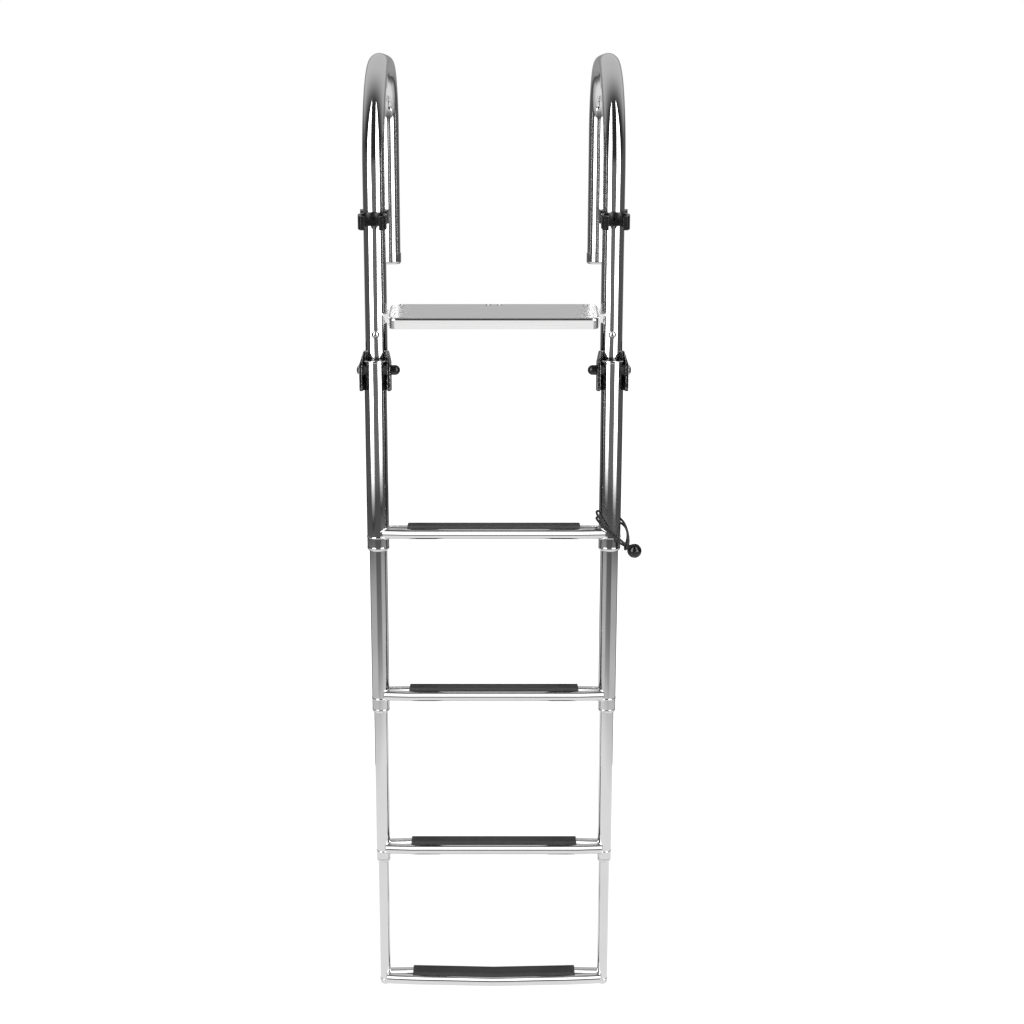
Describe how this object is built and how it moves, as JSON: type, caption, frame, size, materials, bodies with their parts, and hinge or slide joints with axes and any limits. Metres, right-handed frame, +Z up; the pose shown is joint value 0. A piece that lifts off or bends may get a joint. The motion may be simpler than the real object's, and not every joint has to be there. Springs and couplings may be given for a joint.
{
  "type": "boat boarding ladder",
  "caption": "Boarding ladder that hooks over a gunwale, with a flat top step and a hinged lower run of telescoping two-bar steps.",
  "frame": {"origin": "level with the inside top of the two hooks, midway between them, over the gunwale that they rest on", "axes": "+Z up, +Y inboard (away from the climber), +X to the climber's right"},
  "size_m": [0.4125, 0.3965, 1.4232],
  "materials": {
    "polished_tube": "mirror-polished stainless tube",
    "step_steel": "polished pressed stainless sheet",
    "bolt_steel": "bright stainless fasteners",
    "clip_black": "black moulded nylon, satin",
    "bracket_black": "black coated steel, worn at the edges",
    "nut_black": "black moulded cap, semi-gloss",
    "tread_rubber": "dark grey ribbed rubber",
    "bush_nylon": "natural nylon",
    "cord_black": "black braided cover over elastic",
    "ball_black": "black moulded ball, gloss"
  },
  "bodies": {
    "hook_frame": {"hook_rail_left": "polished_tube", "hook_tip_cap_left": "polished_tube", "stow_clip_left": "clip_black", "hinge_bracket_left": "bracket_black", "pivot_bolt_left": "bolt_steel", "pivot_cap_nut_left": "nut_black", "hook_rail_right": "polished_tube", "hook_tip_cap_right": "polished_tube", "stow_clip_right": "clip_black", "hinge_bracket_right": "bracket_black", "pivot_bolt_right": "bolt_steel", "pivot_cap_nut_right": "nut_black", "hinge_washers": "bush_nylon", "top_step": "step_steel", "stow_clip_screws": "bolt_steel", "rail_bolts": "bolt_steel", "hinge_stop_pads": "tread_rubber"},
    "stage_1": {"stage_1_tube_left": "polished_tube", "stage_1_collar_left": "polished_tube", "stage_1_tube_right": "polished_tube", "stage_1_collar_right": "polished_tube", "stage_1_front_bar": "polished_tube", "stage_1_rear_bar": "polished_tube", "stage_1_tread": "tread_rubber", "stage_1_lower_bushes": "bush_nylon", "pivot_sleeves": "bolt_steel", "stage_1_top_caps": "polished_tube", "bungee_cord": "cord_black", "bungee_ball": "ball_black"},
    "stage_2": {"stage_2_tube_left": "polished_tube", "stage_2_collar_left": "polished_tube", "stage_2_tube_right": "polished_tube", "stage_2_collar_right": "polished_tube", "stage_2_front_bar": "polished_tube", "stage_2_rear_bar": "polished_tube", "stage_2_tread": "tread_rubber", "stage_2_lower_bushes": "bush_nylon", "stage_2_top_guides": "bush_nylon"},
    "stage_3": {"stage_3_tube_left": "polished_tube", "stage_3_collar_left": "polished_tube", "stage_3_tube_right": "polished_tube", "stage_3_collar_right": "polished_tube", "stage_3_front_bar": "polished_tube", "stage_3_rear_bar": "polished_tube", "stage_3_tread": "tread_rubber", "stage_3_lower_bushes": "bush_nylon", "stage_3_top_guides": "bush_nylon"},
    "stage_4": {"foot_cap_left": "polished_tube", "stage_4_tube_left": "polished_tube", "foot_cap_right": "polished_tube", "stage_4_tube_right": "polished_tube", "stage_4_front_bar": "polished_tube", "stage_4_rear_bar": "polished_tube", "stage_4_tread": "tread_rubber", "stage_4_top_guides": "bush_nylon"}
  },
  "joints": [
    {"name": "fold", "type": "hinge", "parent": "hook_frame", "child": "stage_1", "pos_m": [0, -0.1925, -0.4243], "axis": [-1, 0, 0], "range_deg": [0, 180], "deforming": ["bungee_cord"]},
    {"name": "stage_2_slide", "type": "slide", "parent": "stage_1", "child": "stage_2", "axis": [0, 0, 1], "range_m": [0, 0.2095]},
    {"name": "stage_3_slide", "type": "slide", "parent": "stage_2", "child": "stage_3", "axis": [0, 0, 1], "range_m": [0, 0.2075]},
    {"name": "stage_4_slide", "type": "slide", "parent": "stage_3", "child": "stage_4", "axis": [0, 0, 1], "range_m": [0, 0.179]}
  ]
}
